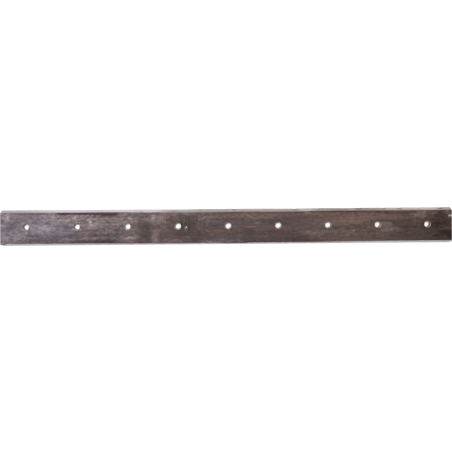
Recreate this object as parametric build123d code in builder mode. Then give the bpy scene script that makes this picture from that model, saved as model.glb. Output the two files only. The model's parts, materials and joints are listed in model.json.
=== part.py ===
from build123d import *

import math
import os

# Shear bar: one flat steel bar with a ground bevel along its cutting edge and a row of bolt holes.
# It lies on its back face, bevel up. The origin is where the middle bolt hole's axis meets the back face.
# +X runs along the bar, +Y points to the cutting edge and +Z out of the front face. Sizes are in mm.

# Flat stock that the bar was made from
stock_width = 70.0
stock_thickness = 10.0
rolled_edge_radius = 0.8

# Row of bolt holes on the middle line of the stock, worn at their lips
hole_count = 9
hole_pitch = 100.0
hole_diameter = 12.0
end_margin = 50.0
front_lip_chamfer = 0.8
back_lip_chamfer = 0.4

# Small hole, placed from the bolt hole that it stands beside
small_hole_neighbour = 4
small_hole_offset_x = 16.0
small_hole_offset_y = -2.0
small_hole_diameter = 4.5
small_hole_lip_chamfer = 0.3

# Cutting edge: ground back from the stock's edge, with a narrow square land at the back face.
# From the land up to the front face the bevel leans back from square by this angle.
ground_off = 2.0
bevel_angle = 30.0
edge_land = 2.0
worn_arris_radius = 0.3

# Ends, sawn square and broken with a file
end_arris_chamfer = 0.6

# Chips in the cutting edge: hole pitches from the middle hole, length along the edge, depth into it
chips = [
    (-1.29, 9.0, 0.5),
    (-1.08, 10.0, 0.6),
    (-0.55, 6.0, 0.5),
    (0.13, 5.0, 0.8),
    (1.34, 11.0, 0.8),
    (1.57, 5.0, 0.6),
    (1.79, 9.0, 0.7),
    (2.63, 14.0, 0.4),
    (3.14, 8.0, 0.5),
    (3.45, 10.0, 0.8),
    (4.28, 11.0, 0.7),
]

# Nick that runs out through the right-hand end, above the row of holes
nick_y = 17.0
nick_length = 5.0
nick_width = 3.5
nick_depth = 2.0

# Worked out from the sizes above
bar_length = (hole_count - 1) * hole_pitch + 2 * end_margin
heel_y = -stock_width / 2
edge_y = stock_width / 2 - ground_off
bevel_setback = (stock_thickness - edge_land) * math.tan(math.radians(bevel_angle))
middle_hole = (hole_count + 1) / 2
small_hole_x = (small_hole_neighbour - middle_hole) * hole_pitch + small_hole_offset_x
nick_slope = math.atan2(nick_depth, nick_length)


def arc_radius(chord, depth):
    """Radius of the arc that cuts this deep over this chord."""
    return (chord**2 / 4 + depth**2) / (2 * depth)


def rims(part, diameter):
    """The round edges of this diameter, where holes meet the flat faces."""
    circles = part.edges().filter_by(GeomType.CIRCLE)
    return circles.filter_by(lambda edge: math.isclose(edge.radius, diameter / 2))


# Section across the bar, with the sketch's x along +Y and its y along +Z
with BuildSketch(Plane.YZ) as section:
    with BuildLine():
        Polyline(
            (heel_y, 0),
            (edge_y, 0),
            (edge_y, edge_land),
            (edge_y - bevel_setback, stock_thickness),
            (heel_y, stock_thickness),
            close=True,
        )
    make_face()

with BuildPart() as shear_bar:
    extrude(section.sketch, amount=bar_length / 2, both=True)
    chamfer(shear_bar.faces().filter_by(Axis.X).edges(), length=end_arris_chamfer)
    heel_edges = shear_bar.edges().filter_by(Axis.X).group_by(Axis.Y)[0]
    fillet(heel_edges, radius=rolled_edge_radius)
    ground_edges = shear_bar.edges().filter_by(Axis.X).filter_by(lambda edge: edge.center().Y > 0)
    fillet(ground_edges, radius=worn_arris_radius)

    # Each chip is an arc in plan, cut through the land and on into the bevel
    for pitches, chip_length, chip_depth in chips:
        chip_radius = arc_radius(chip_length, chip_depth)
        with Locations((pitches * hole_pitch, edge_y - chip_depth + chip_radius, stock_thickness / 2)):
            Cylinder(chip_radius, 2 * stock_thickness, mode=Mode.SUBTRACT)

    # The nick is a round-bottomed groove that slopes down to the end
    nick_floor = Plane(
        origin=(bar_length / 2 - nick_length, nick_y, stock_thickness),
        x_dir=(math.sin(nick_slope), 0, math.cos(nick_slope)),
        z_dir=(math.cos(nick_slope), 0, -math.sin(nick_slope)),
    )
    with Locations(nick_floor):
        Cylinder(
            arc_radius(nick_width, nick_depth),
            2 * nick_length,
            align=(Align.MIN, Align.CENTER, Align.MIN),
            mode=Mode.SUBTRACT,
        )

    with Locations(Plane.XY.offset(stock_thickness)):
        with GridLocations(hole_pitch, 0, hole_count, 1):
            Hole(hole_diameter / 2)
        with Locations((small_hole_x, small_hole_offset_y)):
            Hole(small_hole_diameter / 2)
    bolt_rims = rims(shear_bar, hole_diameter).group_by(Axis.Z)
    chamfer(bolt_rims[-1], length=front_lip_chamfer)
    chamfer(bolt_rims[0], length=back_lip_chamfer)
    chamfer(rims(shear_bar, small_hole_diameter), length=small_hole_lip_chamfer)

shear_bar.part.label = "shear_bar"

os.makedirs("parts", exist_ok=True)
export_step(shear_bar.part, "parts/shear_bar.step")
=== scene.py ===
import json
import math

import bmesh
import bpy
from bpy.props import FloatProperty, FloatVectorProperty, IntProperty, PointerProperty
from mathutils import Matrix, Vector, noise
from mathutils.bvhtree import BVHTree


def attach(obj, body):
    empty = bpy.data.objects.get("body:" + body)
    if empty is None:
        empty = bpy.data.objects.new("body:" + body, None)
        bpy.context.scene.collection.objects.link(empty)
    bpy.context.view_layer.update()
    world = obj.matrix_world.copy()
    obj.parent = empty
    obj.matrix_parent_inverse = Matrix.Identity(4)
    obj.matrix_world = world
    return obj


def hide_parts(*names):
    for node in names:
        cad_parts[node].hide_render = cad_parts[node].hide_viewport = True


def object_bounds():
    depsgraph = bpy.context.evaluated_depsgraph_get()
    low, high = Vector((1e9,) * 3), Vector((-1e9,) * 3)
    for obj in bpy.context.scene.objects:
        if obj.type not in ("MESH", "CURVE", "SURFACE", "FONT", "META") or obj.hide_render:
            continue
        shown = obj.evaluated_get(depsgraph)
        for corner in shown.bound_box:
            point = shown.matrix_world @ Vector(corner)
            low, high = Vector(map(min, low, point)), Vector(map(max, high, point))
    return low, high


# A worn shear bar. The CAD solid gives its box, holes, chips and nick, and this file gives the rest:
# the section inside that box, the wear and the look of the steel.
# Lengths are in metres in the CAD frame: +X along the bar, +Y to the cutting edge, +Z out of the front face.
# Places in the materials and in the tables below are in millimetres in the same frame.

bl_info = {
    "name": "Worn shear bar",
    "version": (1, 0, 0),
    "blender": (4, 5, 0),
    "location": "3D View > Sidebar > Shear bar",
    "description": "Makes a used steel shear bar over its CAD solid, with its floor, lights and camera",
    "category": "Object",
}

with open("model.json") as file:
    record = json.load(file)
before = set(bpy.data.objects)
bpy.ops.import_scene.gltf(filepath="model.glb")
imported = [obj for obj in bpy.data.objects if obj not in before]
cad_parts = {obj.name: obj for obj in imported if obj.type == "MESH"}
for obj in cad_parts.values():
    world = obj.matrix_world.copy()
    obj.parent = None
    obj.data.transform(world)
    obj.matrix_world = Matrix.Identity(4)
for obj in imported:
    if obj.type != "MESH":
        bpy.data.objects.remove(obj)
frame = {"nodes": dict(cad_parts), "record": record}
CAD_LOW, CAD_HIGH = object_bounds()
BAR_NODE = "shear_bar"
BORES = [mount for mount in frame["record"]["mounts"] if mount["kind"] == "bore"]
MM = 0.001

# Rows of the mesh that run along the bar: Y on the flat faces, closer at the holes, and Z on bevel and heel
ROWS_OF_FACE = [*range(-30, -10, 4), *range(-10, 11, 2), *range(14, 27, 4)]
ROWS_OF_BEVEL = [2.6, 3.2, 4.0, 5.0, 6.5, 8.0]
# Half the side of the square that a bore's rim is joined to, in bore radii
BORE_PATCH = 1.7
# The nick lies between these rows of the face and within this reach of the right-hand end.
# The gaps between the rows are cut this many times there.
NICK_ROWS = (14, 22)
NICK_REACH = 7 * MM
NICK_CUTS = 7
# Every vertex past this Y belongs to the ground edge
GROUND_FROM = 27.5 * MM
# A vertex is cut back to the solid where it stands further out than this
CAST_SLACK = 0.1 * MM
# Two places that are closer than this are the same place
HAIR = 1e-6
# The floor lies this far under the bar, so that their faces don't share one place
FLOOR_GAP = 0.05 * MM

# Long shallow hollows from sharpening by hand: middle along the bar, half length, depth.
# The first go into the whole bevel, and the others only widen it at the front face.
GROUND_BACK = [(-95, 80, 0.6), (125, 90, 0.5)]
BEVEL_LEANS = [(-50, 110, 1.1), (100, 120, 0.6)]

# Lengths over which wear comes and goes: hollows in the faces, nicks, dents and lips
HOLLOW_LENGTH = 40 * MM
EDGE_NICK_LENGTH = 5 * MM
DENT_LENGTH = 12 * MM
LIP_WEAR_LENGTH = 3 * MM

# Material slots of the bar
WEATHERED_SLOT, GROUND_SLOT, BORE_SLOT, END_SLOT = range(4)

# Sockets of a Mix node that blends colours
MIX_SHARE, MIX_FIRST, MIX_SECOND, MIX_RESULT = 0, 6, 7, 2

# Place and size in metres of the two soft lights, which look at the middle of the bar
KEY_LIGHT = ((-0.45, 0.9, 2.93), 0.8)
SIDE_LIGHT = ((0.0, 2.2, 1.5), 1.2)

# The coolest and the warmest cast of the front face, as shares of red, green and blue
COOL_CAST = (0.95, 0.995, 1.04)
WARM_CAST = (1.07, 0.985, 0.93)

# Tone of the front face from end to end: place along the bar, name of its colour, brightness. The lighter
# mauve-grey of the left end is partly the oxide's own tone and partly painted sheen, where the key light's
# reflection falls.
FACE_TONES = [
    (-450, "left", 0.95),
    (-330, "left", 0.96),
    (-270, "inner_left", 1.18),
    (-235, "inner_left", 0.9),
    (-200, "inner_left", 1.08),
    (-177, "middle", 0.98),
    (-150, "middle", 1.1),
    (-68, "middle", 0.7),
    (-35, "middle", 0.88),
    (35, "middle", 0.8),
    (135, "middle", 0.8),
    (230, "right", 0.82),
    (300, "right", 0.8),
    (360, "right", 0.58),
    (400, "right", 0.65),
    (425, "right_end", 1.15),
    (450, "right_end", 1.1),
]

# A patch is full within the first of these shares of its size, and gone past the second
PATCH_FULL, PATCH_GONE = 0.3, 1.35
# Patches on the front face: middle x and y, half length, half width, strength
PALE_PATCHES = [
    (-438, -22, 9, 7, 0.95),
    (-436, 17, 8, 7, 0.95),
    (-421, -20, 13, 8, 0.9),
    (-399, -22, 14, 6, 0.45),
    (-388, -3, 10, 12, 0.3),
    (-373, -10, 12, 6, 0.5),
    (-360, -3, 13, 8, 0.6),
    (-321, 15, 13, 4, 0.4),
    (-309, 3, 7, 5, 0.4),
    (-273, 7, 5, 6, 0.8),
    (-108, -29, 30, 4, 0.15),
    (-15, -30, 50, 4, 0.25),
    (58, 5, 6, 3, 0.25),
    # The last two rows run along the bevel's arris: pale worn steel, partly a painted highlight of the
    # rounded arris.
    (-110, 28.4, 100, 1.6, 0.7),
    (60, 28.4, 80, 1.4, 0.5),
]
WARM_PATCHES = [
    (-400, 17, 22, 5, 0.25),
    (-325, 19, 38, 6, 0.75),
    (-265, 18, 26, 7, 0.7),
    (-256, 4, 16, 8, 0.7),
    (-193, -19, 19, 6, 0.65),
    (-192, 15, 26, 7, 0.4),
    (-144, 16, 22, 10, 0.55),
    (-143, -22, 8, 13, 0.8),
    (-92, 24, 26, 4, 0.25),
    (-44, 18, 20, 8, 0.25),
    (44, -4, 14, 2, 0.2),
    (52, 17, 52, 7, 0.22),
    (158, 24, 8, 4, 0.35),
    (172, -17, 24, 8, 0.3),
    (230, -15, 36, 7, 0.25),
    (255, 12, 40, 10, 0.12),
    (318, 3, 14, 6, 0.25),
    (330, -10, 24, 6, 0.45),
    (392, 19, 22, 7, 0.4),
    (444, 22, 9, 8, 0.2),
]
DARK_PATCHES = [
    (-430, 2, 12, 9, 0.35),
    (-378, -27, 40, 7, 0.36),
    (-335, -22, 20, 9, 0.33),
    (-300, -16, 22, 9, 0.4),
    (-255, -24, 40, 11, 0.3),
    (-165, -8, 12, 24, 0.38),
    (-142, -22, 34, 12, 0.22),
    (-107, 7, 13, 4, 0.35),
    (-90, 0, 30, 20, 0.28),
    (42, -14, 14, 12, 0.35),
    (130, -24, 26, 7, 0.15),
    (300, 25, 7, 3, 0.6),
    (317, 23, 5, 3, 0.4),
    (331, 3, 4, 4, 0.45),
    (345, -6, 24, 14, 0.37),
    (350, 23, 8, 4, 0.25),
    (367, 25, 9, 3, 0.4),
    (402, 20, 7, 6, 0.45),
    (404, -10, 26, 6, 0.45),
    (408, 4, 26, 15, 0.4),
    (415, -31, 30, 3, 0.4),
    (428, 2, 20, 16, 0.3),
    (428, 24, 6, 5, 0.5),
    (436, -16, 16, 5, 1.0),
    (446, -22, 9, 9, 1.0),
]
RUST_PATCHES = [
    (-385, 26, 50, 3.5, 0.6),
    (-327, 26, 14, 4, 0.8),
    (-285, 26, 50, 3, 1.0),
    (-270, -30, 70, 5, 0.6),
    (-252, 26, 38, 3.2, 0.9),
    (-235, 25, 19, 5, 1.0),
    (-205, 26, 16, 3, 0.1),
    (150, 27, 40, 1.6, 0.5),
    (245, 27.5, 62, 2.4, 1.0),
]
# Where the steel is browner than its mean tone, or greyer if the strength is below 0
HUE_PATCHES = [
    (-150, 0, 50, 40, -0.4),
    (75, -8, 60, 18, 0.35),
    (88, 16, 80, 14, 0.7),
    (172, -17, 30, 10, 0.4),
    (230, 2, 70, 8, -0.3),
    (240, -30, 60, 7, -0.5),
    (320, 26, 90, 6, 0.4),
    (396, 19, 28, 9, 0.6),
    (400, -6, 26, 7, -0.4),
]
# Small scuffs down to bare steel
SCUFFS = [
    (-408, -4.5, 1.8, 1.4, 0.25),
    (-399, -12, 1.6, 1.8, 0.25),
    (-307, -5, 1.6, 1.6, 0.35),
    (251, -12, 1.8, 1.1, 0.35),
    (-84, -7, 1.2, 2.2, 0.08),
    (445, 17, 3, 1.9, 0.7),
]
# Painted light: the patch that paints the wall of the small hole bright, brighter than the walls of the bolt
# holes, standing in for the lit floor seen through it
SMALL_HOLE_PAINTED_LIGHT = (-84, -2, 6, 6, 1.0)

# How strongly the front face is mottled: place along the bar and share of the strongest
STRONGEST_MOTTLING = 2.8
MOTTLING = [
    (-370, 0.62),
    (-290, 0.8),
    (-200, 0.78),
    (-150, 0.59),
    (-55, 0.66),
    (40, 0.4),
    (360, 0.42),
    (430, 0.98),
]

# How bright the ground bevel is: place along the bar and share of the brightest
BRIGHTEST_BEVEL = 1.25
BEVEL_TONES = [
    (-450, 0.33),
    (-405, 0.38),
    (-325, 0.93),
    (-250, 0.74),
    (-210, 1.0),
    (-176, 0.74),
    (-150, 1.0),
    (-119, 0.4),
    (-45, 0.26),
    (30, 0.34),
    (140, 0.22),
    (155, 0.64),
    (186, 0.14),
    (245, 0.43),
    (280, 0.03),
    (325, 0.5),
    (415, 0.62),
    (450, 0.1),
]
# The bevel's tint from end to end: cool at the left, warmer to the right
BEVEL_TINTS = [
    (-450, (1.0, 0.985, 1.0, 1.0)),
    (-350, (1.0, 0.985, 0.98, 1.0)),
    (-230, (1.0, 0.97, 0.95, 1.0)),
    (180, (1.0, 0.96, 0.88, 1.0)),
    (320, (1.0, 0.94, 0.8, 1.0)),
    (450, (1.0, 0.94, 0.84, 1.0)),
]
# Stained and chipped places on the bevel, listed as the patches are. Their darkness is partly old broken
# steel and partly painted shade of chip faces turned away from the light.
BEVEL_STAINS_AND_SHADE = [
    (-129, 31, 6, 3, 0.25),
    (-108, 31, 7, 3, 0.35),
    (-55, 32, 4, 2, 0.5),
    (13, 32, 4, 2.5, 0.8),
    (134, 32, 6, 2.5, 0.8),
    (157, 32, 4, 2, 0.6),
    (179, 32, 6, 2, 0.7),
    (225, 30, 30, 1.6, 0.6),
    (263, 32, 9, 3, 0.8),
    (314, 32, 5, 2.5, 0.6),
    (345, 32, 7, 2.5, 0.8),
    (428, 32, 7, 3, 0.9),
]


def display(red, green, blue):
    """A colour as a screen shows it, from 0 to 255, as the linear values that a shader takes."""
    levels = [level / 255 for level in (red, green, blue)]
    return tuple(v / 12.92 if v <= 0.04045 else ((v + 0.055) / 1.055) ** 2.4 for v in levels)


class BarSizes(bpy.types.PropertyGroup):
    """Sizes of the bar that the CAD solid's box and mounts don't give, and the steps of its mesh."""

    land: FloatProperty(
        name="Land", description="Height of the square land under the bevel",
        default=0.002, min=0.0005, unit="LENGTH",
    )
    bevel_angle: FloatProperty(
        name="Bevel angle", description="How far the bevel leans back from square",
        default=math.radians(30), min=0.1, max=1.2, subtype="ANGLE",
    )
    rolled_radius: FloatProperty(
        name="Rolled edge", description="Radius of the stock's rolled edges at the heel",
        default=0.0008, min=0.0001, unit="LENGTH",
    )
    ground_radius: FloatProperty(
        name="Ground edge", description="Radius that wear has given the ground edges",
        default=0.0003, min=0.0001, unit="LENGTH",
    )
    end_chamfer: FloatProperty(
        name="End chamfer", description="Chamfer filed round both ends",
        default=0.0006, min=0.0001, unit="LENGTH",
    )
    stations: IntProperty(
        name="Stations", description="Steps of the mesh from end to end", default=899, min=90, max=1200,
    )


class BarWear(bpy.types.PropertyGroup):
    """How far use has worn the bar. Every wear takes steel away."""

    waviness: FloatProperty(
        name="Waviness", description="Depth of the slow hollows in the front face",
        default=0.00008, min=0.0, unit="LENGTH",
    )
    grinding: FloatProperty(
        name="Grinding", description="Depth of the slow hollows that hand grinding left in the bevel",
        default=0.0002, min=0.0, unit="LENGTH",
    )
    edge_nicks: FloatProperty(
        name="Edge nicks", description="Depth of the small nicks along the cutting edge",
        default=0.0003, min=0.0, unit="LENGTH",
    )
    heel_dents: FloatProperty(
        name="Heel dents", description="Depth of the dents along the rolled edges",
        default=0.0004, min=0.0, unit="LENGTH",
    )
    lip_wear: FloatProperty(
        name="Lip wear", description="How unevenly the holes' lips are worn",
        default=0.0002, min=0.0, unit="LENGTH",
    )


class SteelColours(bpy.types.PropertyGroup):
    """Colours of the old steel from its left end to its right end, of its patches and of its worked faces."""

    # Partly grey-mauve oxide, partly painted sheen of the key light's reflection, which is why the left end
    # is lighter.
    left: FloatVectorProperty(
        name="Left", description="Grey-mauve oxide of the left end",
        default=display(95, 87, 95), size=3, min=0.0, max=1.0, subtype="COLOR",
    )
    inner_left: FloatVectorProperty(
        name="Inner left", description="Warmer grey oxide between the left end and the middle",
        default=display(82, 71, 73), size=3, min=0.0, max=1.0, subtype="COLOR",
    )
    middle: FloatVectorProperty(
        name="Middle", description="Dark brown-grey oxide of the middle",
        default=display(72, 59, 58), size=3, min=0.0, max=1.0, subtype="COLOR",
    )
    right: FloatVectorProperty(
        name="Right", description="Lighter brown oxide right of the middle",
        default=display(81, 65, 59), size=3, min=0.0, max=1.0, subtype="COLOR",
    )
    right_end: FloatVectorProperty(
        name="Right end", description="Near-black oxide of the right end, and of stains on both end faces",
        default=display(50, 38, 32), size=3, min=0.0, max=1.0, subtype="COLOR",
    )
    pale: FloatVectorProperty(
        name="Pale patches", description="Worn patches with a lavender cast",
        default=display(124, 112, 120), size=3, min=0.0, max=1.0, subtype="COLOR",
    )
    warm: FloatVectorProperty(
        name="Warm patches", description="Patches of warm grey dust",
        default=display(112, 101, 97), size=3, min=0.0, max=1.0, subtype="COLOR",
    )
    dark: FloatVectorProperty(
        name="Dark patches", description="Near-black stains",
        default=display(27, 19, 17), size=3, min=0.0, max=1.0, subtype="COLOR",
    )
    rust: FloatVectorProperty(
        name="Rust patches", description="Dark red-brown stains, mostly beside the bevel, and in the holes",
        default=display(42, 26, 26), size=3, min=0.0, max=1.0, subtype="COLOR",
    )
    bevel: FloatVectorProperty(
        name="Bevel", description="Bright ground steel of the bevel",
        default=display(185, 177, 187), size=3, min=0.0, max=1.0, subtype="COLOR",
    )
    dull_bevel: FloatVectorProperty(
        name="Dull bevel", description="Ground steel that has dulled",
        default=display(136, 127, 127), size=3, min=0.0, max=1.0, subtype="COLOR",
    )
    # Partly old broken steel, partly painted shade of chip faces turned from the light.
    chip: FloatVectorProperty(
        name="Chips", description="Old broken steel in the chips",
        default=display(84, 70, 68), size=3, min=0.0, max=1.0, subtype="COLOR",
    )
    # In the nick and the scuffs this is bare steel. On the small hole's wall it is painted light.
    bare: FloatVectorProperty(
        name="Bare metal", description="Fresh steel in the nick, the scuffs and the small hole",
        default=display(178, 172, 167), size=3, min=0.0, max=1.0, subtype="COLOR",
    )
    # Partly rubbed steel, partly a painted highlight where the heel's rounded front edge would catch the
    # light.
    rubbed: FloatVectorProperty(
        name="Rubbed heel", description="Steel rubbed pale along the heel's front edge",
        default=display(174, 172, 175), size=3, min=0.0, max=1.0, subtype="COLOR",
    )
    bore: FloatVectorProperty(
        name="Bores", description="Steel inside the holes",
        default=display(112, 98, 95), size=3, min=0.0, max=1.0, subtype="COLOR",
    )
    lip: FloatVectorProperty(
        name="Lips", description="Steel that bolts have rubbed bright round the holes",
        default=display(142, 127, 125), size=3, min=0.0, max=1.0, subtype="COLOR",
    )
    sawn: FloatVectorProperty(
        name="Ends", description="Sawn steel of the ends",
        default=display(92, 86, 84), size=3, min=0.0, max=1.0, subtype="COLOR",
    )


class Studio(bpy.types.PropertyGroup):
    """Floor, lights and camera."""

    floor_size: FloatProperty(
        name="Floor size", description="Side of the square floor", default=12.0, min=2.0, unit="LENGTH",
    )
    floor_colour: FloatVectorProperty(
        name="Floor colour", description="Pale matt floor",
        default=(0.78, 0.775, 0.775), size=3, min=0.0, max=1.0, subtype="COLOR",
    )
    key_power: FloatProperty(
        name="Key light", description="Power of the soft light overhead",
        default=104.0, min=0.0, unit="POWER",
    )
    side_power: FloatProperty(
        name="Side light", description="Power of the light past the cutting edge",
        default=7.0, min=0.0, unit="POWER",
    )
    sky: FloatProperty(
        name="Sky", description="Strength of the even light from all sides", default=0.6, min=0.0,
    )
    camera_place: FloatVectorProperty(
        name="Camera place", description="Where the camera stands, a little past the cutting edge",
        default=(-0.0224, 0.1179, 0.9847), size=3, subtype="TRANSLATION", unit="LENGTH",
    )
    camera_turn: FloatVectorProperty(
        name="Camera turn", description="Turn away from looking straight down",
        default=(0.0, math.radians(-1.11), math.radians(-0.32)), size=3, subtype="EULER",
    )
    lens: FloatProperty(
        name="Lens", description="Focal length in millimetres", default=39.03, min=10.0,
    )
    shift_up: FloatProperty(
        name="Shift", description="Lens shift that brings the bar to the middle of the frame",
        default=-0.1317,
    )


def section_loop(bm, sizes):
    """Draw the section at the left end: a loop of edges, round at the corners, with a vertex at each row."""
    x = CAD_LOW.x + sizes.end_chamfer
    top = CAD_HIGH.z
    setback = (top - sizes.land) * math.tan(sizes.bevel_angle)
    heel = [(CAD_LOW.y, 0.0), (CAD_LOW.y, top)]
    ground = [(CAD_HIGH.y - setback, top), (CAD_HIGH.y, sizes.land), (CAD_HIGH.y, 0.0)]
    corners = [bm.verts.new((x, y, z)) for y, z in heel + ground]
    bm.faces.new(corners)
    for sharp, radius, segments in (
        (corners[:2], sizes.rolled_radius, 4),
        (corners[2:], sizes.ground_radius, 2),
    ):
        bmesh.ops.bevel(
            bm, geom=sharp, offset=radius, offset_type="OFFSET", segments=segments,
            profile=0.5, affect="VERTICES", material=-1,
        )
    cuts = [((0, y * MM, 0), (0, 1, 0)) for y in ROWS_OF_FACE]
    cuts += [((0, 0, z * MM), (0, 0, 1)) for z in ROWS_OF_BEVEL]
    for place, normal in cuts:
        bmesh.ops.bisect_plane(bm, geom=bm.verts[:] + bm.edges[:], plane_co=place, plane_no=normal, dist=HAIR)
    bmesh.ops.delete(bm, geom=bm.faces[:], context="FACES_ONLY")


def sweep(bm, sizes):
    """Draw the section out to the right end and divide it into stations."""
    run = CAD_HIGH.x - CAD_LOW.x - 2 * sizes.end_chamfer
    drawn = bmesh.ops.extrude_edge_only(bm, edges=bm.edges[:])["geom"]
    bmesh.ops.translate(bm, vec=(run, 0, 0), verts=[e for e in drawn if isinstance(e, bmesh.types.BMVert)])
    long_edges = [e for e in bm.edges if e.calc_length() > run / 2]
    bmesh.ops.subdivide_edges(bm, edges=long_edges, cuts=sizes.stations - 1)
    bm.normal_update()


def beside(place, bore, reach):
    """Is this place within reach of the bore's axis, along the bar and across it?"""
    return abs(place.x - bore["pos_m"][0]) < reach and abs(place.y - bore["pos_m"][1]) < reach


def open_patches(bm):
    """Take out the squares of the front and back faces that the bores' rims will be joined to."""
    opened = []
    for face in bm.faces:
        if abs(face.normal.z) < 0.99:
            continue
        centre = face.calc_center_median()
        if any(beside(centre, bore, BORE_PATCH * bore["dims"]["r_mm"] * MM) for bore in BORES):
            opened.append(face)
    bmesh.ops.delete(bm, geom=opened, context="FACES")


def rim_edges(edges, bore, height):
    """Of these edges, the ones that lie round the bore at this height."""
    reach = BORE_PATCH * bore["dims"]["r_mm"] * MM + MM
    return [
        edge for edge in edges
        if all(beside(v.co, bore, reach) and abs(v.co.z - height) < 0.1 * MM for v in edge.verts)
    ]


def spin_bore(bm, bore, turns, lip_steps=4, wall_rows=3):
    """Spin one bore's side, from its front lip to its back lip, into a wall that faces the axis."""
    x, y, z = bore["pos_m"]
    radius, half = bore["dims"]["r_mm"] * MM, bore["dims"]["length_mm"] * MM / 2
    low, high = z - half, z + half
    front, back = CAD_HIGH.z - high, low
    bends = [math.pi / 2 * step / lip_steps for step in range(lip_steps + 1)]
    side = [(radius + front * (1 - math.sin(bend)), high + front * math.cos(bend)) for bend in bends]
    side += [(radius, high - 2 * half * row / (wall_rows + 1)) for row in range(1, wall_rows + 1)]
    side += [(radius + back * (1 - math.sin(bend)), low - back * math.cos(bend)) for bend in reversed(bends)]
    line = [bm.verts.new((x + out, y, height)) for out, height in side]
    edges = [bm.edges.new(pair) for pair in zip(line, line[1:])]
    bmesh.ops.spin(
        bm, geom=line + edges, cent=(x, y, 0), axis=(0, 0, 1), angle=-math.tau, steps=turns, use_merge=True,
    )


def add_bores(bm):
    """Spin each bore's wall, with its lips worn round, and bridge its rims to the patches."""
    tubes = bmesh.new()
    patch_rims = [edge for edge in bm.edges if edge.is_boundary]
    for bore in BORES:
        spin_bore(tubes, bore, turns=len(rim_edges(patch_rims, bore, CAD_HIGH.z)))
    for face in tubes.faces:
        face.material_index = BORE_SLOT
    carrier = bpy.data.meshes.new("bore_walls")
    tubes.to_mesh(carrier)
    tubes.free()
    bm.from_mesh(carrier)
    bpy.data.meshes.remove(carrier)
    rims = [edge for edge in bm.edges if edge.is_boundary]
    for bore in BORES:
        for height in (0.0, CAD_HIGH.z):
            ring = bmesh.ops.bridge_loops(bm, edges=rim_edges(rims, bore, height))["faces"]
            for face in ring:
                face.material_index = WEATHERED_SLOT


def refine_nick(bm):
    """Divide the face at the right-hand end, where the nick is narrower than the rows."""
    low, high = NICK_ROWS[0] * MM - HAIR, NICK_ROWS[1] * MM + HAIR
    near = [
        edge for edge in bm.edges
        if all(
            v.co.x > CAD_HIGH.x - NICK_REACH and v.co.z > CAD_HIGH.z - HAIR and low < v.co.y < high
            for v in edge.verts
        )
        and abs(edge.verts[0].co.y - edge.verts[1].co.y) > MM
    ]
    bmesh.ops.subdivide_edges(bm, edges=near, cuts=NICK_CUTS)


def close_ends(bm, sizes):
    """Cap both ends, with the filed chamfer round each cap."""
    chamfer = sizes.end_chamfer
    middle = (CAD_LOW + CAD_HIGH) / 2
    wide, high = CAD_HIGH.y - CAD_LOW.y, CAD_HIGH.z
    smaller = (1, (wide - 2 * chamfer) / wide, (high - 2 * chamfer) / high)
    open_edges = [edge for edge in bm.edges if edge.is_boundary]
    for way in (-1, 1):
        loop = [edge for edge in open_edges if edge.verts[0].co.x * way > 0]
        drawn = bmesh.ops.extrude_edge_only(bm, edges=loop)["geom"]
        verts = [e for e in drawn if isinstance(e, bmesh.types.BMVert)]
        rim = [e for e in drawn if isinstance(e, bmesh.types.BMEdge) and all(v in verts for v in e.verts)]
        bmesh.ops.scale(bm, vec=smaller, space=Matrix.Translation(-middle), verts=verts)
        bmesh.ops.translate(bm, vec=(way * chamfer, 0, 0), verts=verts)
        bmesh.ops.contextual_create(bm, geom=rim)


def sort_faces(bm):
    """Give each face its steel: ground, sawn, bored or weathered."""
    for face in bm.faces:
        if face.material_index == BORE_SLOT:
            continue
        if abs(face.normal.x) > 0.5:
            face.material_index = END_SLOT
        elif face.normal.y > 0.3:
            face.material_index = GROUND_SLOT


def fit_to_solid(bm, solid):
    """Cut the solid's chips and nick into the mesh, and note at each vertex how deep it lies in them."""
    chip = bm.verts.layers.float.new("chip")
    nick = bm.verts.layers.float.new("nick")
    # Rays start clear of the solid, and a little inside its box so that none slips past it
    clear, inside = 10 * MM, 0.05 * MM
    for vert in bm.verts:
        x, y, z = vert.co
        x = max(CAD_LOW.x + inside, min(CAD_HIGH.x - inside, x))
        if y > GROUND_FROM:
            level = max(2 * inside, min(CAD_HIGH.z - 2 * inside, z))
            hit = solid.ray_cast(Vector((x, y + clear, level)), Vector((0, -1, 0)), 2 * clear)[0]
            if hit and y - hit.y > CAST_SLACK:
                vert[chip] = (y - hit.y) / MM
                vert.co.y = hit.y
        if x > CAD_HIGH.x - NICK_REACH and z > CAD_HIGH.z - MM:
            hit = solid.ray_cast(Vector((x, y, z + clear)), Vector((0, 0, -1)), 2 * clear)[0]
            if hit and z - hit.z > CAST_SLACK:
                vert[nick] = (z - hit.z) / MM
                vert.co.z = hit.z


def bumps(x, z, size, seed):
    """Uneven wear along an edge, mostly from -1 to 1, with small bumps on larger ones."""
    large = noise.noise(Vector((x / size, seed, z / size)))
    small = noise.noise(Vector((x / size * 3, seed, 0)))
    return large + 0.5 * small


def ripple(place, length):
    """Slow change over this length, mostly from 0 to 1."""
    return 0.5 + 0.5 * noise.noise(place / length)


def hollow_depth(hollows, x):
    """How deep a table's hollows are at this place along the bar."""
    total = 0.0
    for middle, half_length, depth in hollows:
        away = min(1.0, abs(x / MM - middle) / half_length)
        total += depth * MM * (0.5 + 0.5 * math.cos(math.pi * away))
    return total


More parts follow.
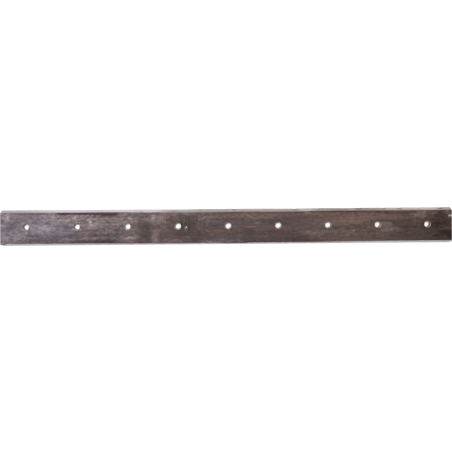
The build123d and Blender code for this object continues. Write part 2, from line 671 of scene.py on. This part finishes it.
def wear_down(bm, wear):
    """Hollow the faces, grind the bevel back, nick the cutting edge, dent the heel and wear the lips."""
    top = CAD_HIGH.z
    for vert in bm.verts:
        x, y, z = vert.co
        on_front = z > top - 0.05 * MM and y < GROUND_FROM
        on_bevel = z > 3 * MM and y > GROUND_FROM
        at_cutting_edge = z > MM and y > CAD_HIGH.y - MM
        at_heel = y < CAD_LOW.y + MM
        hollow = ripple(vert.co, HOLLOW_LENGTH)
        if on_front:
            vert.co.z -= wear.waviness * hollow
        if on_bevel:
            vert.co.y -= wear.grinding * hollow
        if y > GROUND_FROM:
            vert.co.y -= hollow_depth(GROUND_BACK, x) + hollow_depth(BEVEL_LEANS, x) * z / top
        if at_cutting_edge:
            vert.co.y -= wear.edge_nicks * max(0.0, bumps(x, z, EDGE_NICK_LENGTH, seed=7.1))
        if at_heel:
            dent = wear.heel_dents * max(0.0, bumps(x, z, DENT_LENGTH, seed=1.7) - 0.25)
            side = 1 if z > top - MM else -1 if z < MM else 0
            vert.co.y += dent * abs(side)
            vert.co.z -= dent * side
        for bore in BORES:
            if z > top - 0.7 * MM and beside(vert.co, bore, bore["dims"]["r_mm"] * MM * 1.1):
                vert.co.z -= wear.lip_wear * ripple(vert.co, LIP_WEAR_LENGTH)


def smooth_between_corners(bm, corner=math.radians(32)):
    """Shade the faces smooth and keep the corners sharp."""
    for face in bm.faces:
        face.smooth = True
    for edge in bm.edges:
        edge.smooth = edge.calc_face_angle(0.0) < corner


class Signal:
    """A value, vector or colour in a steel's nodes. Arithmetic on a value adds Math nodes."""

    def __init__(self, steel, socket):
        self.steel = steel
        self.socket = socket

    def __add__(self, other):
        return self.steel.math("ADD", self, other)

    __radd__ = __add__

    def __sub__(self, other):
        return self.steel.math("SUBTRACT", self, other)

    def __rsub__(self, other):
        return self.steel.math("SUBTRACT", other, self)

    def __mul__(self, other):
        return self.steel.math("MULTIPLY", self, other)

    __rmul__ = __mul__

    def __truediv__(self, other):
        return self.steel.math("DIVIDE", self, other)


class Steel:
    """One steel of the bar: its material, and the few kinds of node that the steels share."""

    def __init__(self, name):
        self.material = bpy.data.materials.new(name)
        self.material.use_nodes = True
        self.tree = self.material.node_tree
        self.tree.nodes.clear()
        metres = self.add("ShaderNodeTexCoord", output="Object")
        self.place = self.add(
            "ShaderNodeVectorMath", {"operation": "SCALE"}, {"Vector": metres, "Scale": 1 / MM},
        )
        self.x, self.y, self.z = (
            self.add("ShaderNodeSeparateXYZ", sockets={"Vector": self.place}, output=axis) for axis in "XYZ"
        )

    def add(self, kind, settings=None, sockets=None, output=0):
        """Add a node with these settings and socket values or links, and give one of its outputs."""
        node = self.tree.nodes.new(kind)
        for name, value in (settings or {}).items():
            if name == "stops":
                self.set_stops(node.color_ramp, value)
            else:
                setattr(node, name, value)
        for name, value in (sockets or {}).items():
            if isinstance(value, Signal):
                self.tree.links.new(value.socket, node.inputs[name])
            else:
                node.inputs[name].default_value = value
        return Signal(self, node.outputs[output]) if node.outputs else None

    @staticmethod
    def set_stops(ramp, stops):
        """Give a ramp these stops: a place from 0 to 1 and a colour each."""
        while len(ramp.elements) < len(stops):
            ramp.elements.new(1.0)
        for element, (place, colour) in zip(ramp.elements, stops):
            element.position = place
            element.color = colour

    def math(self, operation, first, second=0.0):
        """One Math node."""
        return self.add("ShaderNodeMath", {"operation": operation}, {0: first, 1: second})

    def step(self, value, low, high, most=1.0):
        """A soft step from 0 to most as the value goes from low to high. High may be the smaller one."""
        return self.add(
            "ShaderNodeMapRange", {"interpolation_type": "SMOOTHSTEP"},
            {"Value": value, "From Min": low, "From Max": high, "To Min": 0.0, "To Max": most},
        )

    def cloud(self, size, seed, detail=3.0, roughness=0.55, output=0):
        """Noise from 0 to 1 whose lumps are about this long in millimetres along X, Y and Z."""
        scaled = self.add(
            "ShaderNodeVectorMath", {"operation": "MULTIPLY_ADD"},
            {0: self.place, 1: [1 / length for length in size], 2: (seed, seed, seed)},
        )
        return self.add(
            "ShaderNodeTexNoise", {},
            {"Vector": scaled, "Scale": 1.0, "Detail": detail, "Roughness": roughness}, output,
        )

    def drift(self, size, reach, seed):
        """The place, pushed about by noise, so that a pattern's borders are ragged."""
        push = self.cloud(size, seed, detail=4.0, roughness=0.6, output="Color")
        centred = self.add("ShaderNodeVectorMath", {"operation": "SUBTRACT"}, {0: push, 1: (0.5, 0.5, 0.5)})
        return self.add(
            "ShaderNodeVectorMath", {"operation": "MULTIPLY_ADD"}, {0: centred, 1: reach, 2: self.place},
        )

    def patches(self, rows, place):
        """The mask of a table's patches, each an ellipse with soft borders."""
        mask = 0.0
        for x, y, half_length, half_width, strength in rows:
            away = self.add(
                "ShaderNodeVectorMath", {"operation": "MULTIPLY_ADD"},
                {
                    0: place,
                    1: (1 / half_length, 1 / half_width, 0),
                    2: (-x / half_length, -y / half_width, 0),
                },
            )
            distance = self.add("ShaderNodeVectorMath", {"operation": "LENGTH"}, {0: away}, "Value")
            mask = self.step(distance, PATCH_GONE, PATCH_FULL, strength) + mask
        return self.math("MINIMUM", mask, 1.0)

    def ramp(self, value, stops):
        """A colour ramp from the bar's left end to its right end."""
        run = (CAD_HIGH.x - CAD_LOW.x) / MM
        share = (value - CAD_LOW.x / MM) / run
        placed = [((place - CAD_LOW.x / MM) / run, colour) for place, colour in stops]
        return self.add("ShaderNodeValToRGB", {"stops": placed}, {"Fac": share})

    def along(self, table):
        """The share that a table gives from the bar's left end to its right end."""
        return self.ramp(self.x, [(place, (share, share, share, 1.0)) for place, share in table])

    def blend(self, share, first, second):
        """Mix two colours: only the first at a share of 0, and only the second at 1."""
        first, second = (c if isinstance(c, Signal) else (*c, 1.0) for c in (first, second))
        return self.add(
            "ShaderNodeMix", {"data_type": "RGBA", "clamp_factor": True},
            {MIX_SHARE: share, MIX_FIRST: first, MIX_SECOND: second}, MIX_RESULT,
        )

    def shade(self, colour, brightness):
        """Make a colour brighter or darker."""
        return self.add(
            "ShaderNodeVectorMath", {"operation": "SCALE"}, {"Vector": colour, "Scale": brightness},
        )

    def tinted(self, colour, tint):
        """Multiply a colour by another one."""
        return self.add("ShaderNodeVectorMath", {"operation": "MULTIPLY"}, {0: colour, 1: tint})

    def relief(self, height, depth):
        """Normals of a surface whose height, from 0 to 1, covers this depth in metres."""
        return self.add("ShaderNodeBump", {}, {"Height": height, "Distance": depth, "Strength": 1.0})

    def finish(self, **sockets):
        """Join these socket values or links to the surface shader."""
        named = {name.replace("_", " "): value for name, value in sockets.items()}
        surface = self.add("ShaderNodeBsdfPrincipled", {}, named)
        self.add("ShaderNodeOutputMaterial", {}, {"Surface": surface})
        return self.material


def face_tone(steel, colours, far):
    """The mean tone from end to end, whose borders wander a little."""
    far_x = steel.add("ShaderNodeSeparateXYZ", sockets={"Vector": far}, output="X")
    stops = []
    for place, name, brightness in FACE_TONES:
        stops.append((place, (*(brightness * part for part in getattr(colours, name)), 1.0)))
    return steel.ramp(0.35 * far_x + 0.65 * steel.x, stops)


def face_light(steel, small, fine, streaks, brushed, left):
    """How bright the steel is against its tone: clouds, smears, streaks, and ripples by the fourth hole."""
    large = steel.cloud((36, 14, 14), seed=21.0)
    large_strength = 0.8 - steel.step(steel.x, -30, 60, 0.45)
    clouds = (large - 0.5) * large_strength + (small - 0.5) * 1.3 + (fine - 0.5) * 1.1
    uneven = clouds * steel.along(MOTTLING) * STRONGEST_MOTTLING
    smears = steel.cloud((80, 6.5, 6.5), seed=41.0)
    right = steel.step(steel.x, 60, 220)
    ripples = steel.cloud((2.4, 30, 30), seed=9.0, detail=1.0)
    rippled = steel.step(steel.x, -140, -105) * steel.step(steel.x, -40, -62) * steel.step(steel.y, -25, 5)
    light = 1.0 + uneven + uneven * uneven * 0.5 + (smears - 0.5) * (0.5 + brushed * 0.8)
    light = light + (streaks - 0.5) * (0.5 + 0.5 * right - 0.3 * left) + (ripples - 0.5) * rippled * 1.8
    return steel.math("MAXIMUM", light, 0.2)


def face_tint(steel, brushed, left, browned):
    """The steel's cast: cool and warm spots, drawn out into bands where it is brushed, weak at the left."""
    spots = steel.cloud((36, 18, 18), seed=31.0, detail=1.0)
    bands = steel.cloud((150, 8, 8), seed=33.0, detail=1.0)
    hue = steel.step(spots + (bands - spots) * brushed, 0.36, 0.64) - 0.5
    warmth = 0.5 + hue * (1.0 - 0.8 * left) + browned
    return steel.blend(warmth, COOL_CAST, WARM_CAST)


def heel_wear_and_highlight(steel, small, fine, streaks):
    """The mask of the pale rim along the heel's front edge, ragged, and wider towards both ends: partly
    rubbed steel, partly a painted highlight of the rounded edge.
    """
    wider = steel.step(steel.x, -180, -300, 0.8) + steel.step(steel.x, 120, 330, 1.2)
    thinner = steel.step(steel.x, -434, -446, 3.0) + steel.step(steel.x, -25, 0) * steel.step(steel.x, 45, 25)
    border = steel.y - wider + thinner + (small - 0.5) * 2.0 + (fine - 0.5) * 1.5
    return steel.step(border, -33.3, -34.8, 0.8) * (0.6 + streaks * 0.8) * steel.step(steel.z, 8.9, 9.6)


def weathered_steel(colours):
    """Old oxide on the front, back and heel, stained and scuffed, with painted shade towards the heel, and a
    pale rim along the heel's edge that is partly rubbed steel and partly a painted highlight.
    """
    steel = Steel("weathered_steel")
    front = steel.step(steel.z, 6.0, 9.5)
    left = steel.step(steel.x, -150, -230)
    brushed = steel.step(steel.x, -60, 20) + steel.step(steel.x, -340, -290) * steel.step(steel.x, -150, -185)
    near = steel.drift((9, 7, 7), (7, 5, 5), seed=3.0)
    far = steel.drift((30, 22, 22), (26, 12, 12), seed=11.0)
    small = steel.cloud((9, 5, 5), seed=5.0, detail=4.0, roughness=0.6)
    fine = steel.cloud((2.4, 1.3, 1.3), seed=8.0, roughness=0.6)
    streaks = steel.cloud((80, 1.5, 1.5), seed=2.0, detail=4.0, roughness=0.6)

    # Painted shade: the front face is lighter towards the bevel and darker towards the heel, as the light
    # falls across it. It is also darker along the heel at the left end.
    painted_shade_towards_heel = 1.0 + steel.y * 0.0045 - steel.step(steel.y, -30, -34, 0.2) * left
    light = face_light(steel, small, fine, streaks, brushed, left) * (1.0 - front + painted_shade_towards_heel * front)
    colour = steel.shade(face_tone(steel, colours, far), light)
    mottle = steel.step(small, 0.3, 0.6) * 0.3 + 0.7
    for rows, paint, place in (
        (WARM_PATCHES, colours.warm, far),
        (PALE_PATCHES, colours.pale, near),
        (DARK_PATCHES, colours.dark, near),
        (RUST_PATCHES, colours.rust, near),
    ):
        colour = steel.blend(steel.patches(rows, place) * mottle * front, colour, steel.shade(paint, light))
    browned = steel.patches(HUE_PATCHES, far) * front
    colour = steel.tinted(colour, face_tint(steel, brushed, left, browned))
    # A pale rim along the heel's front edge: partly rubbed steel, partly a painted highlight of the rounded
    # edge.
    colour = steel.blend(heel_wear_and_highlight(steel, small, fine, streaks), colour, colours.rubbed)

    nick = steel.add("ShaderNodeAttribute", {"attribute_name": "nick"}, output="Fac")
    bare = steel.math("MAXIMUM", steel.step(nick, 0.1, 0.4), steel.patches(SCUFFS, steel.place) * front)
    colour = steel.blend(bare, colour, colours.bare)
    return steel.finish(
        Base_Color=colour,
        Metallic=0.05 + bare * 0.6,
        Specular_IOR_Level=0.15,
        Roughness=0.52 + (small - 0.5) * 0.4 + (fine - 0.5) * 0.2 - bare * 0.1,
        Normal=steel.relief(fine * 0.6 + streaks * 0.4, 0.06 * MM),
    )


def ground_steel(colours):
    """Bevel and land, ground along the bar: bright, streaked, duller in places, and dark in the chips, partly
    as painted shade.
    """
    steel = Steel("ground_steel")
    chip = steel.add("ShaderNodeAttribute", {"attribute_name": "chip"}, output="Fac")
    streaks = steel.cloud((45, 0.7, 0.7), seed=4.0, detail=4.0, roughness=0.65)
    dull = steel.cloud((9, 2.4, 2.4), seed=14.0)
    grain = steel.cloud((6, 0.16, 0.16), seed=1.0, detail=2.0)
    bright = steel.along(BEVEL_TONES) * BRIGHTEST_BEVEL
    bright = bright + (streaks - 0.5) * 1.3 + (dull - 0.5) * 0.9 - steel.step(steel.z, 5.0, 10.0, 0.35)
    tint = steel.ramp(steel.x, BEVEL_TINTS)
    colour = steel.tinted(steel.blend(bright, colours.dull_bevel, colours.bevel), tint)
    # The chips and stains are darkened: partly old broken steel, partly painted shade of chip faces turned
    # from the light.
    broken = steel.math("MAXIMUM", steel.step(chip, 0.08, 0.3), steel.patches(BEVEL_STAINS_AND_SHADE, steel.place))
    colour = steel.blend(broken * 0.85, colour, colours.chip)
    return steel.finish(
        Base_Color=colour,
        Metallic=0.92 - broken * 0.5,
        Roughness=0.34 + (dull - 0.5) * 0.3 + broken * 0.2,
        Normal=steel.relief(grain * 0.6 + streaks * 0.4, 0.03 * MM),
    )


def bored_steel(colours):
    """Walls and worn lips of the holes, with painted light on the small hole's wall."""
    steel = Steel("bored_steel")
    rings = steel.cloud((12, 12, 0.5), seed=6.0)
    spots = steel.cloud((1.5, 1.5, 1.5), seed=16.0)
    rusty = steel.step(spots, 0.52, 0.66, 0.6)
    worn = steel.step(steel.z, 9.1, 9.6)
    colour = steel.blend(worn, colours.bore, colours.lip)
    # Painted light: the small hole's wall takes the bare steel colour, standing in for the lit floor seen
    # through the hole.
    colour = steel.blend(steel.patches([SMALL_HOLE_PAINTED_LIGHT], steel.place), colour, colours.bare)
    colour = steel.blend(rusty, steel.shade(colour, 0.75 + rings * 0.5), colours.rust)
    return steel.finish(
        Base_Color=colour,
        Metallic=0.6,
        Roughness=0.42 + rusty * 0.3,
        Normal=steel.relief(rings, 0.05 * MM),
    )


def sawn_steel(colours):
    """End faces, stained, with the saw's lines running up them."""
    steel = Steel("sawn_steel")
    lines = steel.cloud((1.0, 0.5, 30), seed=7.0)
    spots = steel.cloud((3, 3, 3), seed=17.0, detail=4.0)
    stained = steel.step(spots, 0.45, 0.65, 0.7)
    colour = steel.blend(stained, steel.shade(colours.sawn, 0.7 + lines * 0.6), colours.right_end)
    return steel.finish(
        Base_Color=colour,
        Metallic=0.5,
        Roughness=0.48 + stained * 0.15,
        Normal=steel.relief(lines, 0.08 * MM),
    )


class MakeBar(bpy.types.Operator):
    """Make the worn bar in place of its CAD solid"""

    bl_idname = "shear_bar.make_bar"
    bl_label = "Make the bar"

    def execute(self, context):
        sizes = context.scene.shear_bar_sizes
        colours = context.scene.shear_bar_colours
        solid = BVHTree.FromObject(frame["nodes"][BAR_NODE], context.evaluated_depsgraph_get())
        bm = bmesh.new()
        section_loop(bm, sizes)
        sweep(bm, sizes)
        open_patches(bm)
        add_bores(bm)
        refine_nick(bm)
        close_ends(bm, sizes)
        bmesh.ops.recalc_face_normals(bm, faces=bm.faces[:])
        sort_faces(bm)
        fit_to_solid(bm, solid)
        wear_down(bm, context.scene.shear_bar_wear)
        smooth_between_corners(bm)
        if any(not edge.is_manifold for edge in bm.edges):
            raise RuntimeError("the bar's mesh isn't closed")
        mesh = bpy.data.meshes.new("worn_bar")
        bm.to_mesh(mesh)
        bm.free()
        for material in (
            weathered_steel(colours), ground_steel(colours), bored_steel(colours), sawn_steel(colours),
        ):
            mesh.materials.append(material)
        bar = bpy.data.objects.new("worn_bar", mesh)
        context.scene.collection.objects.link(bar)
        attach(bar, "root")
        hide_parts(BAR_NODE)
        return {"FINISHED"}


def soft_light(scene, name, place, size, power):
    """A square area light that looks at the middle of the bar."""
    light = bpy.data.lights.new(name, "AREA")
    light.shape = "SQUARE"
    light.size = size
    light.energy = power
    lamp = bpy.data.objects.new(name, light)
    lamp.location = place
    lamp.rotation_euler = (-Vector(place)).to_track_quat("-Z", "Y").to_euler()
    scene.collection.objects.link(lamp)


class SetStage(bpy.types.Operator):
    """Lay the floor, hang the lights and set the camera"""

    bl_idname = "shear_bar.set_stage"
    bl_label = "Set the stage"

    def execute(self, context):
        scene = context.scene
        studio = scene.shear_bar_studio
        bm = bmesh.new()
        bmesh.ops.create_grid(bm, x_segments=1, y_segments=1, size=studio.floor_size / 2)
        bmesh.ops.translate(bm, vec=(0, 0, -FLOOR_GAP), verts=bm.verts[:])
        mesh = bpy.data.meshes.new("floor")
        bm.to_mesh(mesh)
        bm.free()
        pale = bpy.data.materials.new("pale_floor")
        pale.use_nodes = True
        surface = pale.node_tree.nodes["Principled BSDF"]
        surface.inputs["Base Color"].default_value = (*studio.floor_colour, 1.0)
        surface.inputs["Roughness"].default_value = 0.9
        mesh.materials.append(pale)
        floor = bpy.data.objects.new("floor", mesh)
        scene.collection.objects.link(floor)

        soft_light(scene, "key_light", *KEY_LIGHT, studio.key_power)
        soft_light(scene, "side_light", *SIDE_LIGHT, studio.side_power)
        world = bpy.data.worlds.new("even_light")
        world.use_nodes = True
        sky = world.node_tree.nodes["Background"]
        sky.inputs["Color"].default_value = (1.0, 1.0, 1.0, 1.0)
        sky.inputs["Strength"].default_value = studio.sky
        scene.world = world
        scene.view_settings.view_transform = "Standard"

        lens = bpy.data.cameras.new("camera")
        lens.lens = studio.lens
        lens.shift_y = studio.shift_up
        camera = bpy.data.objects.new("camera", lens)
        camera.location = studio.camera_place
        camera.rotation_euler = studio.camera_turn
        scene.collection.objects.link(camera)
        scene.camera = camera
        return {"FINISHED"}


class ShearBarPanel(bpy.types.Panel):
    """The bar's sizes, wear, colours and stage"""

    bl_idname = "VIEW3D_PT_shear_bar"
    bl_label = "Shear bar"
    bl_space_type = "VIEW_3D"
    bl_region_type = "UI"
    bl_category = "Shear bar"

    def draw(self, context):
        scene = context.scene
        for group, operator in (
            (scene.shear_bar_sizes, None),
            (scene.shear_bar_wear, None),
            (scene.shear_bar_colours, MakeBar.bl_idname),
            (scene.shear_bar_studio, SetStage.bl_idname),
        ):
            column = self.layout.column()
            for name in group.bl_rna.properties.keys():
                if name not in ("rna_type", "name"):
                    column.prop(group, name)
            if operator:
                column.operator(operator)


CLASSES = (BarSizes, BarWear, SteelColours, Studio, MakeBar, SetStage, ShearBarPanel)


def register():
    for kind in CLASSES:
        bpy.utils.register_class(kind)
    bpy.types.Scene.shear_bar_sizes = PointerProperty(type=BarSizes)
    bpy.types.Scene.shear_bar_wear = PointerProperty(type=BarWear)
    bpy.types.Scene.shear_bar_colours = PointerProperty(type=SteelColours)
    bpy.types.Scene.shear_bar_studio = PointerProperty(type=Studio)


def unregister():
    del bpy.types.Scene.shear_bar_studio
    del bpy.types.Scene.shear_bar_colours
    del bpy.types.Scene.shear_bar_wear
    del bpy.types.Scene.shear_bar_sizes
    for kind in reversed(CLASSES):
        bpy.utils.unregister_class(kind)


def main():
    register()
    bpy.ops.shear_bar.set_stage()
    bpy.ops.shear_bar.make_bar()


if __name__ == "__main__":
    main()
